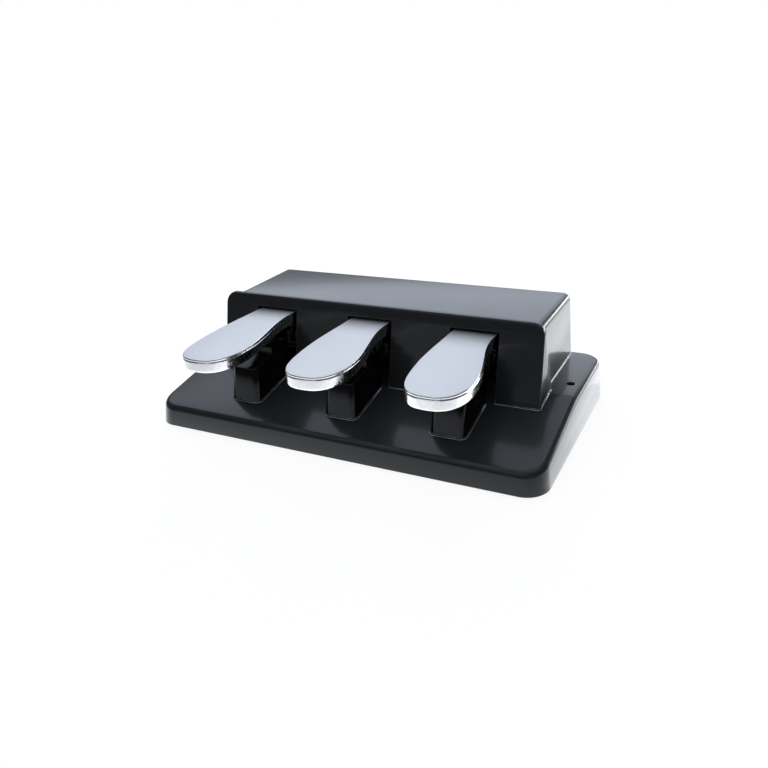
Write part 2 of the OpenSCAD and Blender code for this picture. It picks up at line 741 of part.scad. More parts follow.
module lever(x) {
  tip = along_lever(fascia_y - lever_out);
  color([0.45, 0.46, 0.48]) on_lever(x) difference() {
    union() {
      translate([0, 0, -lever_top]) linear_extrude(lever_t) {
        translate([-lever_w / 2, tip + lever_w / 2]) square([lever_w, -tip - lever_w / 2]);
        translate([0, tip + lever_w / 2]) circle(lever_w / 2);
      }
      rod(-barrel_w / 2, barrel_w / 2, 0, 0, barrel_r);
      peg([0, along_lever(spring_y)], stud_r, -lever_top - stud_h, 0);
    }
    rod(-barrel_w, barrel_w, 0, 0, bush_r);
    for (y = lever_screw_y) peg([0, along_lever(y)], screw_r + seam, -lever_t, lever_t);
  }
}

module bushes(x) {
  color([0.14, 0.14, 0.14]) on_lever(x) for (s = [0, 180]) rotate([0, 0, s]) difference() {
    union() {
      rod(1, barrel_w / 2 + flange_t, 0, 0, bush_r);
      rod(barrel_w / 2, barrel_w / 2 + flange_t, 0, 0, bush_r + 2);
    }
    rod(0, barrel_w, 0, 0, shaft_r + running);
  }
}

module lever_screws(x) {
  color([0.5, 0.5, 0.52]) on_lever(x)
    for (y = lever_screw_y) screw_up([0, along_lever(y)], -lever_top, lever_t + plate_t / 2);
}

module sensor_flag(x) {
  color([0.12, 0.12, 0.13]) on_lever(x) translate([0, along_lever(flag_y), -lever_top - flag_seat]) {
    translate([-lever_w / 2, -4, 0]) cube([lever_w, 8, flag_seat]);
    translate([-flag_t / 2, -3, -flag_drop]) cube([flag_t, 6, flag_drop + eps]);
  }
}

module return_spring(x) {
  z0 = chassis_top + wire / 2 + seam;
  z1 = lever_z(spring_y + spring_r, -lever_top) - wire / 2 - rest_gap;
  r = spring_r - wire / 2;
  steps = 12;
  coil = [for (i = [0:turns * steps])
    let (t = i / steps, rise = ease((t - 0.6) / (turns - 1.2)) * 0.35
      + 0.65 * min(max((t - 0.6) / (turns - 1.2), 0), 1))
    [x + r * cos(360 * t), spring_y + r * sin(360 * t), z0 + (z1 - z0) * rise]];
  color([0.6, 0.6, 0.62]) tube(coil, wire / 2, 6);
}

// ------------------------------------------------------- pivot and chassis

module pivot_chassis() {
  z = chassis_top - sheet;
  color([0.09, 0.09, 0.1]) difference() {
    union() {
      translate([-chassis_w / 2, chassis_y[0], z])
        cube([chassis_w, chassis_y[1] - chassis_y[0], sheet]);
      for (x = ear_x, s = [-1, 1]) translate([s * x, 0, 0]) along_x(ear_t)
        polygon([[ear_y[0], z], [ear_y[1], z], [ear_y[1], pivot_z + 2], [ear_y[1] - arm_h, rail_z],
          [rail_y[0], rail_z], [rail_y[0], rail_z - arm_h], [ear_y[0], rail_z - 2 * arm_h]]);
      for (i = [-1, 0, 1])
        peg([i * spacing, spring_y], stud_r, z, chassis_top + stud_h);
    }
    rod(-base_w / 2, base_w / 2, pivot_y, pivot_z, shaft_r + running);
    for (p = chassis_screw_at) peg(p, screw_r, 0, deck_h + 10);
  }
}

module chassis_screws() {
  color([0.5, 0.5, 0.52]) for (p = chassis_screw_at) screw_up(p, deck_h - base_wall, 7);
}

// Angle that the levers rest under, and its felts
module stop_rail() {
  color([0.09, 0.09, 0.1]) along_x(chassis_w)
    polygon([[rail_y[0], rail_z], [rail_y[1], rail_z], [rail_y[1], rail_z + rail_h],
      [rail_y[1] - sheet, rail_z + rail_h], [rail_y[1] - sheet, rail_z + sheet],
      [rail_y[0], rail_z + sheet]]);
}

module stop_felts() {
  color([0.5, 0.12, 0.12]) for (i = [-1, 0, 1]) translate([i * spacing, 0, 0]) along_x(felt_w)
    polygon([[rail_y[0] + 1, lever_z(rail_y[0] + 1, lever_top) + rest_gap],
      [rail_y[1] - 1, lever_z(rail_y[1] - 1, lever_top) + rest_gap],
      [rail_y[1] - 1, rail_z], [rail_y[0] + 1, rail_z]]);
}

module pivot_shaft() {
  x = chassis_w / 2 + 3;
  color([0.7, 0.7, 0.72]) difference() {
    rod(-x, x, pivot_y, pivot_z, shaft_r);
    for (s = [-1, 1]) difference() {
      rod(s * (x - 1.5) - 0.5, s * (x - 1.5) + 0.5, pivot_y, pivot_z, shaft_r + 1);
      rod(s * (x - 1.5) - 1, s * (x - 1.5) + 1, pivot_y, pivot_z, shaft_r - 0.8);
    }
  }
}

// Tubes that keep the levers in place along the shaft, between the ears
module shaft_sleeves() {
  end = barrel_w / 2 + flange_t + rest_gap;
  ear = ear_t / 2 + seam;
  spans = [[end, ear_x[1] - ear], [ear_x[1] + ear, spacing - end], [spacing + end, ear_x[0] - ear]];
  color([0.14, 0.14, 0.14]) for (s = [0, 1], p = spans) mirror([s, 0, 0]) difference() {
    rod(p[0], p[1], pivot_y, pivot_z, shaft_r + 1.5);
    rod(p[0] - 1, p[1] + 1, pivot_y, pivot_z, shaft_r + running);
  }
}

module shaft_clips() {
  x = chassis_w / 2 + 1.5;
  color([0.5, 0.5, 0.52]) for (s = [-1, 1]) difference() {
    rod(s * x - 0.4, s * x + 0.4, pivot_y, pivot_z, shaft_r + 2.5);
    rod(s * x - 1, s * x + 1, pivot_y, pivot_z, shaft_r - 0.8);
    translate([s * x - 1, pivot_y - shaft_r + 1.5, pivot_z - 2 * shaft_r])
      cube([2, 2 * shaft_r - 3, 2 * shaft_r]);
  }
}

// ------------------------------------------------------------- electronics

module circuit_board() {
  color([0.04, 0.05, 0.05]) difference() {
    translate([-board_w / 2, board_y[0], board_z])
      cube([board_w, board_y[1] - board_y[0], board_t]);
    for (x = spacer_x) peg([x, spacer_y], screw_r, 0, board_top + 1);
  }
}

module board_spacers() {
  color([0.7, 0.62, 0.35]) for (x = spacer_x) {
    peg([x, spacer_y], 2 * screw_r, chassis_top, board_z);
    peg([x, spacer_y], screw_r, board_z - eps, board_top + 1);
  }
}

module optical_sensor(x) {
  post = (sensor_w - sensor_slot) / 2;
  color([0.1, 0.1, 0.11]) translate([x, flag_y, board_top]) {
    translate([-sensor_w / 2, -sensor_d / 2, 0]) cube([sensor_w, sensor_d, sensor_floor]);
    for (s = [0, 1]) mirror([s, 0, 0])
      translate([sensor_slot / 2, 1 - sensor_d / 2, sensor_floor - eps])
        cube([post, sensor_d - 2, sensor_h - sensor_floor]);
  }
}

module board_connector() {
  color([0.14, 0.14, 0.14]) translate([socket_x - plug_w / 2, board_y[1] - plug_h, board_top])
    cube([plug_w, plug_h, plug_h]);
}

module sensor_lead() {
  color([0.1, 0.1, 0.1]) tube(smooth(lead_path, 4), lead_r, 8);
}

module output_jack() {
  color([0.1, 0.1, 0.11]) difference() {
    union() {
      translate([socket_x - jack_size[0] / 2, jack_rear_y, jack_z - jack_size[2] / 2])
        cube(jack_size);
      pipe(socket_x, jack_body_y - eps, jack_tip, jack_z, jack_r);
    }
    pipe(socket_x, jack_tip - socket_depth, jack_tip + 1, jack_z, socket_r);
  }
}

module jack_nut() {
  color([0.75, 0.75, 0.77]) difference() {
    translate([socket_x, jack_pad_y + nut_t, jack_z]) rotate([90, 0, 0])
      cylinder(r = jack_r + 3, h = nut_t, $fn = 6);
    pipe(socket_x, jack_pad_y - 1, jack_pad_y + nut_t + 1, jack_z, jack_r);
  }
}

// ----------------------------------------------------------------- pieces

in_place() base_shell();
in_place() bottom_plate();
in_place() housing_cover();
in_place() front_fascia();
in_place() pivot_chassis();
in_place() stop_rail();
in_place() stop_felts();
in_place() pivot_shaft();
in_place() shaft_sleeves();
in_place() shaft_clips();
in_place() circuit_board();
in_place() board_spacers();
in_place() board_connector();
in_place() sensor_lead();
in_place() output_jack();
in_place() jack_nut();
in_place() rubber_feet();
in_place() base_screws();
in_place() housing_screws();
in_place() fascia_screws();
in_place() block_screws();
in_place() chassis_screws();
for (i = [0:2]) {
  x = (i - 1) * spacing;
  in_place() pedal(x);
  in_place() lever(x);
  in_place() bushes(x);
  in_place() lever_screws(x);
  in_place() sensor_flag(x);
  in_place() return_spring(x);
  in_place() stop_block(x);
  in_place() stop_bumper(x);
  in_place() optical_sensor(x);
}
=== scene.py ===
# %% [markdown]
# # Triple pedal unit for a digital piano
# Three long satin metal pedals stand out over a low black base. They pivot inside a box-shaped
# housing, and a black block under each one stops it. The imported CAD model is the fixed frame.
# The moulded shells, the blocks and the pedals are modelled again here with rounded edges,
# because light on rounded edges is what makes moulded plastic and metal look real. The return
# springs are modelled again as coils of their own. All other parts keep their CAD shape and
# get a finish of their own.

# %% Load the frame
import json
import math
import bmesh
import bpy
from mathutils import Matrix, Vector


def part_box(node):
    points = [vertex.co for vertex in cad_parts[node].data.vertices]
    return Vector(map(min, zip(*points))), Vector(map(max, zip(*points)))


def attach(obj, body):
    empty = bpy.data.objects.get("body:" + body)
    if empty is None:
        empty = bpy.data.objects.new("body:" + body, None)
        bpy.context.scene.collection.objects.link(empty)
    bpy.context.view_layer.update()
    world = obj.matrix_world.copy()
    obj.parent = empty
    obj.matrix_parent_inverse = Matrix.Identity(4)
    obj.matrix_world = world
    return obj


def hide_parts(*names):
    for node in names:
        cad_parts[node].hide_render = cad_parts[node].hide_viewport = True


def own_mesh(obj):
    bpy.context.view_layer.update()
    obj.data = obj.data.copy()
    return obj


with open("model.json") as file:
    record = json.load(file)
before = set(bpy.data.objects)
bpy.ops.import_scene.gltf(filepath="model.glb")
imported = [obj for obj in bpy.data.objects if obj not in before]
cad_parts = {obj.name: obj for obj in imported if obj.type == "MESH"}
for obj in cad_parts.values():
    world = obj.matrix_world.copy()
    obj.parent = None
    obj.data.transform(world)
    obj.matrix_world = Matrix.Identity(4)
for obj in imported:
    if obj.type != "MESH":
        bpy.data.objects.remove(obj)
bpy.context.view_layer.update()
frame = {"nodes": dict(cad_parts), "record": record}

# %% [markdown]
# All sizes below are in millimetres, measured from the front edge of the base and from its
# lower rim, as on a workshop drawing. `place` turns them into the frame's metres. The two
# offsets come from the frame itself, so the pieces land on the CAD parts.

# %% Sizes and places
MM = 0.001
base_low, base_high = (Vector(corner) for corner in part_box("base_shell"))
FRONT_Y, RIM_Z = base_low.y, base_low.z


def place(x, y, z):
    return Vector((x * MM, FRONT_Y + y * MM, RIM_Z + z * MM))


BASE_W, BASE_D, FRONT_H, DECK_H, KINK_Y = 340.0, 190.0, 17.5, 34.0, 96.0
DRAFT, CORNER_R, DECK_EDGE_R, WALL = 2.5, 18.0, 4.0, 3.0
FASCIA_Y, FASCIA_TOP_Y, HOUSING_H = 73.0, 87.0, 93.6
FASCIA_HALF, FASCIA_TOP_HALF, FASCIA_R, RIM = 145.5, 144.0, 10.0, 3.5
SPACING, SLOT_W, SLOT_TOP, SEAM = 90.0, 40.0, 84.0, 0.2
SLOPE = (DECK_H - FRONT_H) / (KINK_Y - DRAFT)
LIP_H, LIP_OUT, LIP_FALL = 1.2, 0.8, 1.0
SIDES = {"left": -1, "centre": 0, "right": 1}


def deck_z(y):
    return DECK_H if y >= KINK_Y else FRONT_H + SLOPE * (y - DRAFT)


print("base front at", round(FRONT_Y, 4), "rim at", round(RIM_Z, 4))

# %% [markdown]
# Operators act on whatever is selected, so each step first says exactly what is selected.
# These helpers pick vertices, edges or faces by their place or normal, which is the
# script's way of clicking on them. They work in edit mode on the active object. TOUCH and
# CORNER_REACH say how near counts as the same height and the same corner.

# %% Helpers for selecting and editing
TOUCH, CORNER_REACH = 0.02 * MM, 0.1 * MM


def start_piece(name):
    piece = bpy.context.object
    piece.name = name
    piece.data.name = name
    bpy.ops.object.transform_apply(location=True, rotation=True, scale=True)
    return piece


def select_only(piece):
    """Select one object and make it the active one."""
    bpy.ops.object.select_all(action="DESELECT")
    piece.select_set(True)
    bpy.context.view_layer.objects.active = piece


def edit(piece):
    select_only(piece)
    bpy.ops.object.mode_set(mode="EDIT")
    bpy.ops.mesh.select_all(action="DESELECT")


def leave_edit():
    bpy.ops.object.mode_set(mode="OBJECT")


def pick(kind, wanted):
    """Select the vertices, edges or faces of the edited mesh for which wanted(element) holds."""
    piece = bpy.context.object
    bpy.ops.mesh.select_mode(type={"verts": "VERT", "edges": "EDGE", "faces": "FACE"}[kind])
    bpy.ops.mesh.select_all(action="DESELECT")
    mesh = bmesh.from_edit_mesh(piece.data)
    count = 0
    for element in getattr(mesh, kind):
        if wanted(element):
            element.select_set(True)
            count += 1
    mesh.select_flush_mode()
    bmesh.update_edit_mesh(piece.data)
    return count


def near(a, b):
    return abs(a - b) < TOUCH


def middle(edge):
    return (edge.verts[0].co + edge.verts[1].co) / 2


def between(edge, one, other):
    """True where the edge joins a face that passes one() to a face that passes other()."""
    if len(edge.link_faces) != 2:
        return False
    a, b = edge.link_faces
    return (one(a) and other(b)) or (one(b) and other(a))


def round_edges(radius, segments, wanted):
    count = pick("edges", wanted)
    bpy.ops.mesh.bevel(offset=radius * MM, segments=segments, profile=0.5, affect="EDGES",
                       clamp_overlap=False)
    return count


def set_corner(old, new):
    """Move the vertices at one drawing place to another, on the left side as on the right."""
    a, b = place(*old), place(*new)
    for side in (-1, 1):
        spot = Vector((side * a.x, a.y, a.z))
        pick("verts", lambda v: (v.co - spot).length < CORNER_REACH)
        bpy.ops.transform.translate(value=Vector((side * b.x, b.y, b.z)) - spot)


def cut_line(point, normal):
    """Cut the whole edited mesh along a plane. This adds edges and removes nothing."""
    bpy.ops.mesh.select_all(action="SELECT")
    bpy.ops.mesh.bisect(plane_co=point, plane_no=normal)


def remove_faces(wanted):
    pick("faces", wanted)
    bpy.ops.mesh.delete(type="FACE")


def apply_all(piece):
    select_only(piece)
    for modifier in list(piece.modifiers):
        bpy.ops.object.modifier_apply(modifier=modifier.name)


def hollow(piece, thickness):
    """Give an open shell its wall, on the inside."""
    shell = piece.modifiers.new("wall", "SOLIDIFY")
    shell.thickness = thickness * MM
    shell.offset = -1
    shell.use_even_offset = True
    apply_all(piece)


def cut_away(piece, cutters):
    for cutter in cutters:
        step = piece.modifiers.new("cut", "BOOLEAN")
        step.operation = "DIFFERENCE"
        step.solver = "EXACT"
        step.object = cutter
        apply_all(piece)
        bpy.data.objects.remove(cutter)


def smooth(piece, degrees):
    select_only(piece)
    bpy.ops.object.shade_smooth_by_angle(angle=math.radians(degrees))


def block_of(name, low, high):
    """A box between two drawing corners, as the start of a piece."""
    a, b = place(*low), place(*high)
    bpy.ops.mesh.primitive_cube_add(size=1, location=(a + b) / 2, scale=tuple(b - a))
    return start_piece(name)


def upright(name, x, y, z0, z1, radius, sides=48):
    bpy.ops.mesh.primitive_cylinder_add(vertices=sides, radius=radius * MM, depth=(z1 - z0) * MM,
                                        location=place(x, y, (z0 + z1) / 2))
    return start_piece(name)


def along_y(name, x, y0, y1, z, radius, sides=48):
    bpy.ops.mesh.primitive_cylinder_add(vertices=sides, radius=radius * MM, depth=(y1 - y0) * MM,
                                        location=place(x, (y0 + y1) / 2, z),
                                        rotation=(math.radians(90), 0, 0))
    return start_piece(name)


def join(piece, others):
    bpy.ops.object.select_all(action="DESELECT")
    for other in others:
        other.select_set(True)
    piece.select_set(True)
    bpy.context.view_layer.objects.active = piece
    bpy.ops.object.join()
    return piece


def up(face):
    return face.normal.z > 0.9


def down(face):
    return face.normal.z < -0.9


def wall(face):
    return abs(face.normal.z) < 0.5


def front(face):
    return face.normal.y < -0.9


def rear(face):
    return face.normal.y > 0.9


def side_of(face):
    return abs(face.normal.x) > 0.9


def outward(face):
    """True for a face that looks away from the middle plane of a piece that spans it."""
    return face.normal.x * face.calc_center_median().x > 0


# %% [markdown]
# Where the box, the panel and the blocks meet the deck, a low lip runs along their foot. Its
# top slopes down and outward, and its upper line stays sharp, so it catches light from above
# as one thin line while the wall over it stays smooth.

# %% Lip along the foot of a shell


def lip_z(y):
    """Height at which the lip begins, in the frame, y metres along it."""
    return place(0, 0, deck_z((y - FRONT_Y) / MM) + SEAM + LIP_H).z


def in_lip(face):
    """True for a wall face below the lip's top edge, which lies at one height over the deck."""
    spot = face.calc_center_median()
    return wall(face) and spot.z < lip_z(spot.y)


def on_lip_line(edge):
    """True for an edge at the height where the lip begins."""
    return all(near(v.co.z, lip_z(v.co.y)) for v in edge.verts)


def add_lip(piece, outer):
    """Thicken the foot of a shell outward by a low ledge and slope its top down to the deck."""
    edit(piece)
    for y, slope in ((KINK_Y, 0), (DRAFT, SLOPE)):
        cut_line(place(0, y, deck_z(y) + SEAM + LIP_H), (0, -slope, 1))
    grown = pick("faces", lambda f: in_lip(f) and outer(f))
    bpy.ops.mesh.extrude_region_shrink_fatten(TRANSFORM_OT_shrink_fatten={"value": LIP_OUT * MM})
    pick("edges", lambda e: between(e, lambda f: f.normal.z > 0.7, in_lip) and e.is_convex)
    bpy.ops.transform.translate(value=(0, 0, -LIP_FALL * MM))
    pick("edges", on_lip_line)
    bpy.ops.mesh.mark_sharp()
    leave_edit()
    return grown


# %% [markdown]
# ## The base
# The real base is one injection moulding: low in front, rising in a gentle slope to a level
# deck, with drafted walls so that it leaves its mould. It could be a stack of hulls, but
# starting from one cube keeps every face flat. A bisect makes the line where the slope
# ends, four corners are moved, and then the upright corners, the deck edge and the lower
# rim are rounded in that order, because a later bevel runs neatly over an earlier one.

# %% Base moulding
TOP_HALF, KINK_R, LOWER_R = BASE_W / 2 - DRAFT, 3.0, 1.2


def at_kink(edge):
    return abs(middle(edge).y - place(0, KINK_Y, 0).y) < 1 * MM


base = block_of("base_moulding", (-BASE_W / 2, 0, 0), (BASE_W / 2, BASE_D, DECK_H))
edit(base)
cut_line(place(0, KINK_Y, 0), (0, 1, 0))
set_corner((BASE_W / 2, 0, DECK_H), (TOP_HALF, DRAFT, FRONT_H))
set_corner((BASE_W / 2, KINK_Y, DECK_H), (TOP_HALF, KINK_Y, DECK_H))
set_corner((BASE_W / 2, BASE_D, DECK_H), (TOP_HALF, BASE_D - DRAFT, DECK_H))
corners = round_edges(CORNER_R, 12, lambda e: between(e, wall, wall) and not at_kink(e))
rims = round_edges(DECK_EDGE_R, 8, lambda e: between(e, up, wall))
soft = round_edges(KINK_R, 3, lambda e: between(e, up, up) and at_kink(e))
lower = round_edges(LOWER_R, 3, lambda e: between(e, down, wall))
remove_faces(down)
leave_edit()
hollow(base, WALL)
print("base edges rounded:", corners, rims, soft, lower)

# %% [markdown]
# Each side of the deck has a screw hole with a sunk seat for the screw head. On the real
# moulding a hollow boss under the deck carries the screw down to the rim, so a tube with the
# same bore is joined on below each hole.

# %% Screw holes in the deck
MOUNT_X, MOUNT_Y, HOLE_R, RECESS_R, RECESS, BOSS_R = 156.5, 120.0, 2.6, 3.7, 6.0, 6.5


def seat_cutter(side):
    return upright("seat_cutter", side * MOUNT_X, MOUNT_Y, DECK_H - RECESS, DECK_H + 5, RECESS_R)


bosses = []
for side in (-1, 1):
    cut_away(base, [seat_cutter(side)])
    boss = upright("mount_boss", side * MOUNT_X, MOUNT_Y, 0, DECK_H - 1, BOSS_R)
    bore = upright("bore_cutter", side * MOUNT_X, MOUNT_Y, -5, DECK_H + 5, HOLE_R)
    cut_away(boss, [seat_cutter(side), bore])
    bosses.append(boss)
join(base, bosses)
smooth(base, 30)
print("base faces:", len(base.data.polygons))

# %% [markdown]
# ## The rear cover
# The cover is the box behind the front panel. Its walls lean in a little, its rear wall
# leans forward, and its upper and rear edges are generously rounded. It is open in front
# and below, so the start is a cube with its corners moved, two faces deleted after the
# bevels, and Solidify for the wall.

# %% Rear cover
COVER_HALF, COVER_TOP_HALF, COVER_TOP, COVER_R = 141.7, 140.2, 89.8, 6.0
COVER_Y, COVER_TOP_Y, COVER_FRONT, COVER_FRONT_TOP = 185.5, 178.5, 97.0, 90.4
FOOT = DECK_H + SEAM
cover = block_of("cover_moulding", (-COVER_HALF, COVER_FRONT, FOOT),
                 (COVER_HALF, COVER_Y, COVER_TOP))
edit(cover)
set_corner((COVER_HALF, COVER_Y, COVER_TOP), (COVER_TOP_HALF, COVER_TOP_Y, COVER_TOP))
set_corner((COVER_HALF, COVER_FRONT, COVER_TOP), (COVER_TOP_HALF, COVER_FRONT_TOP, COVER_TOP))


def open_side(face):
    return front(face) or down(face)


cover_edges = round_edges(COVER_R, 10, lambda e: not any(open_side(f) for f in e.link_faces))
remove_faces(open_side)
leave_edit()
hollow(cover, WALL)
print("cover edges rounded:", cover_edges)

# %% [markdown]
# The output socket's threaded bush passes through a round pad on the rear wall. The pad is
# square to the bush although the wall leans, as on the real moulding, so the nut sits flat.

# %% Socket pad on the rear wall
SOCKET_X, SOCKET_Z, SOCKET_CLEAR, PAD_R, PAD_Y = 58.0, 58.0, 5.2, 11.0, 184.1
PAD_DEEP, PAD_EDGE_R, CUT_BEFORE, CUT_BEHIND = 6, 0.8, 20, 9
pad = along_y("socket_pad", SOCKET_X, PAD_Y - PAD_DEEP, PAD_Y, SOCKET_Z, PAD_R, 64)
edit(pad)
round_edges(PAD_EDGE_R, 3, lambda e: between(e, rear, lambda f: not rear(f)))
leave_edit()
for pierced in (pad, cover):
    cut_away(pierced, [along_y("bush_cutter", SOCKET_X, PAD_Y - CUT_BEFORE, PAD_Y + CUT_BEHIND,
                               SOCKET_Z, SOCKET_CLEAR, 64)])
join(cover, [pad])
lip = add_lip(cover, lambda f: f.normal.y > 0.3 or outward(f))
smooth(cover, 30)
print("cover faces:", len(cover.data.polygons), "in the lip:", lip)

# %% [markdown]
# ## The front panel
# The panel leans back and has a deep rim that narrows to its top, so from the side it is a
# wedge. The pedals pass through three slots that are open at the deck, which lets the whole
# housing drop over them. The wedge starts as a cube, and the slots are cut last, so that
# the rounded rim stays whole.

# %% Front panel with its rim
RIM_FOOT_Y, RIM_TOP_Y, RIM_KINK_TOP_Y, LEADING_R, CRISP_R = 105.0, 90.4, 88.9, 1.6, 0.35
CUT_FRONT_Y, CUT_REAR_Y, CUT_LOW_Z, END_WALL_X = 60, 115, 20, 140
panel = block_of("front_panel", (-FASCIA_HALF, FASCIA_Y, FOOT), (FASCIA_HALF, RIM_FOOT_Y, HOUSING_H))
edit(panel)
cut_line(place(0, KINK_Y, 0), (0, 1, 0))
set_corner((FASCIA_HALF, FASCIA_Y, FOOT), (FASCIA_HALF, FASCIA_Y, deck_z(FASCIA_Y) + SEAM))
set_corner((FASCIA_HALF, KINK_Y, HOUSING_H), (FASCIA_TOP_HALF, RIM_KINK_TOP_Y, HOUSING_H))
set_corner((FASCIA_HALF, FASCIA_Y, HOUSING_H), (FASCIA_TOP_HALF, FASCIA_TOP_Y, HOUSING_H))
set_corner((FASCIA_HALF, RIM_FOOT_Y, HOUSING_H), (FASCIA_TOP_HALF, RIM_TOP_Y, HOUSING_H))
panel_corners = round_edges(FASCIA_R, 12, lambda e: between(e, up, side_of))
remove_faces(lambda f: f.normal.y > 0.5 or down(f))
leading = round_edges(LEADING_R, 5, lambda e: between(e, front, lambda f: not front(f)))
leave_edit()
hollow(panel, RIM)
for side in SIDES.values():
    middle_x = side * SPACING
    cut_away(panel, [block_of("slot_cutter", (middle_x - SLOT_W / 2, CUT_FRONT_Y, CUT_LOW_Z),
                              (middle_x + SLOT_W / 2, CUT_REAR_Y, SLOT_TOP))])
lip = add_lip(panel, lambda f: f.normal.y < -0.3 or abs(f.calc_center_median().x) > END_WALL_X * MM
              and outward(f) and f.normal.y < 0.5)
crisp = panel.modifiers.new("crisp edges", "BEVEL")
crisp.width = CRISP_R * MM
crisp.segments = 2
crisp.limit_method = "ANGLE"
crisp.angle_limit = math.radians(50)
apply_all(panel)
smooth(panel, 30)
print("panel edges rounded:", panel_corners, leading, "in the lip:", lip)

# %% [markdown]
# ## The stop blocks
# A hollow glossy block stands under each pedal. Its front half is lower and its top rises
# slightly to a step, and its walls flare towards the foot so that it leaves its mould. It
# grows from one cube: the rear face is pulled back twice, first to the panel and then,
# narrower, into the slot. The top of the rear half is pulled up for the step.

# %% One stop block, then two copies
BLOCK_HALF, BLOCK_Y, BLOCK_STEP, BLOCK_MEETS, BLOCK_END = 12.2, 29.0, 53.0, 70.6, 78.0
BLOCK_FRONT_H, BLOCK_STEP_H, BLOCK_H, BLOCK_R = 50.0, 55.5, 61.0, 5.0
BLOCK_FLARE, BLOCK_LEAN, BLOCK_WALL, BLOCK_EDGE_R = 2.2, 3.8, 2.5, 0.9
UNDER_DECK, ABOVE_FOOT = 22, 36


def flare_at(y):
    """How much wider a side of the block is at its foot, y millimetres back."""
    foot = deck_z(BLOCK_Y - BLOCK_LEAN)
    return BLOCK_FLARE * (BLOCK_FRONT_H - deck_z(y)) / (BLOCK_FRONT_H - foot)


block = block_of("block_left", (-BLOCK_HALF, BLOCK_Y, UNDER_DECK),
                 (BLOCK_HALF, BLOCK_STEP, BLOCK_FRONT_H))
edit(block)
for length in (BLOCK_MEETS - BLOCK_STEP, BLOCK_END - BLOCK_MEETS):
    pick("faces", rear)
    bpy.ops.mesh.extrude_region_move(TRANSFORM_OT_translate={"value": (0, length * MM, 0)})
for y in (BLOCK_STEP, BLOCK_MEETS, BLOCK_END):
    set_corner((BLOCK_HALF, y, BLOCK_FRONT_H), (BLOCK_HALF, y, BLOCK_STEP_H))
pick("faces", lambda f: up(f) and f.calc_center_median().y > place(0, BLOCK_STEP, 0).y)
bpy.ops.mesh.extrude_region_move(
    TRANSFORM_OT_translate={"value": (0, 0, (BLOCK_H - BLOCK_STEP_H) * MM)})
front_foot = BLOCK_Y - BLOCK_LEAN
set_corner((BLOCK_HALF, BLOCK_Y, UNDER_DECK),
           (BLOCK_HALF + BLOCK_FLARE, front_foot, deck_z(front_foot) + SEAM))
for y in (BLOCK_STEP, BLOCK_MEETS):
    set_corner((BLOCK_HALF, y, UNDER_DECK), (BLOCK_HALF + flare_at(y), y, deck_z(y) + SEAM))
set_corner((BLOCK_HALF, BLOCK_END, UNDER_DECK),
           (BLOCK_HALF, BLOCK_END, deck_z(BLOCK_END) + SEAM))
round_edges(BLOCK_R, 8, lambda e: between(e, front, side_of)
            and middle(e).y < place(0, BLOCK_Y + 2, 0).y)
round_edges(BLOCK_EDGE_R, 3, lambda e: e.calc_face_angle(0) > math.radians(50)
            and middle(e).z > place(0, 0, ABOVE_FOOT).z)
remove_faces(down)
leave_edit()
hollow(block, BLOCK_WALL)
add_lip(block, lambda f: f.calc_center_median().y < place(0, BLOCK_MEETS - 1, 0).y
        and (f.normal.y < -0.3 or outward(f)))
smooth(block, 40)
blocks = {"left": block}
print("block faces:", len(block.data.polygons))

# %% [markdown]
# ## The pedals
# A pedal is a plated casting: flat and satin on top, with a round bead along its edge, a
# fine groove under the bead and a deep polished edge below. Seen from above it is a slim
# neck that widens into a round toe and swings to the right. The outline is a smooth
# function of the distance from the slot, so a filled circle with many points is laid on it
# and pulled down, and the bead and groove are made by rings of cuts moved in or out.

# %% The pedal's outline
TILT, PIVOT_Y, SLOT_Y = 2.9, 150.0, 84.889
PEDAL_TOP, SKIRT_H, SKIRT_T, PLATE_T = 5.5, 10.2, 2.6, 3.0
NECK_W, WAIST_W, PADDLE_W, SWING, REACH = 36.0, 35.6, 47.4, 15.0, 43.0
WAIST_SHARE, TOE_SHARE, TOE_ROUND, BULGE = 0.08, 0.34, 0.77, 0.1
SLOT_GAP, TAIL, SIDE_STEPS, TOE_STEPS, CROWDING = 2.2, 14.0, 34, 36, 1.3
lean = math.radians(TILT)
PIVOT_Z = (SLOT_TOP - SLOT_GAP - PEDAL_TOP / math.cos(lean)
           - (PIVOT_Y - SLOT_Y) * math.tan(lean))
neck_y = (SLOT_Y - PIVOT_Y) / math.cos(lean)
toe_y = (-REACH - PIVOT_Y) / math.cos(lean) - BULGE + (SKIRT_H - 2 - PEDAL_TOP) * math.tan(lean)
tail_u = -TAIL / (neck_y - toe_y)


def ease(t):
    return (1 - math.cos(math.pi * min(max(t, 0), 1))) / 2


def half_width(u):
    if u < WAIST_SHARE:
        return NECK_W / 2 + (WAIST_W - NECK_W) / 2 * ease(u / WAIST_SHARE)
    return WAIST_W / 2 + (PADDLE_W - WAIST_W) / 2 * ease(
        (u - WAIST_SHARE) / (1 - TOE_SHARE - WAIST_SHARE))


def outline_point(u, side, half):
    return (SWING * ease(u) + side * half, neck_y - (neck_y - toe_y) * u)


straight = [tail_u + (1 - TOE_SHARE - tail_u) * i / SIDE_STEPS for i in range(SIDE_STEPS + 1)]
angles = [math.radians(90 * (i / TOE_STEPS) ** CROWDING) for i in range(1, TOE_STEPS)]
left = [outline_point(u, -1, half_width(u)) for u in straight]
right = [outline_point(u, 1, half_width(u)) for u in straight]
for a in angles:
    u = 1 - TOE_SHARE + TOE_SHARE * math.sin(a) ** TOE_ROUND
    half = PADDLE_W / 2 * math.cos(a) ** TOE_ROUND
    left.append(outline_point(u, -1, half))
    right.append(outline_point(u, 1, half))
outline = left + [outline_point(1, 0, 0)] + right[::-1]
print("pedal outline points:", len(outline), "pivot height", round(PIVOT_Z, 3))

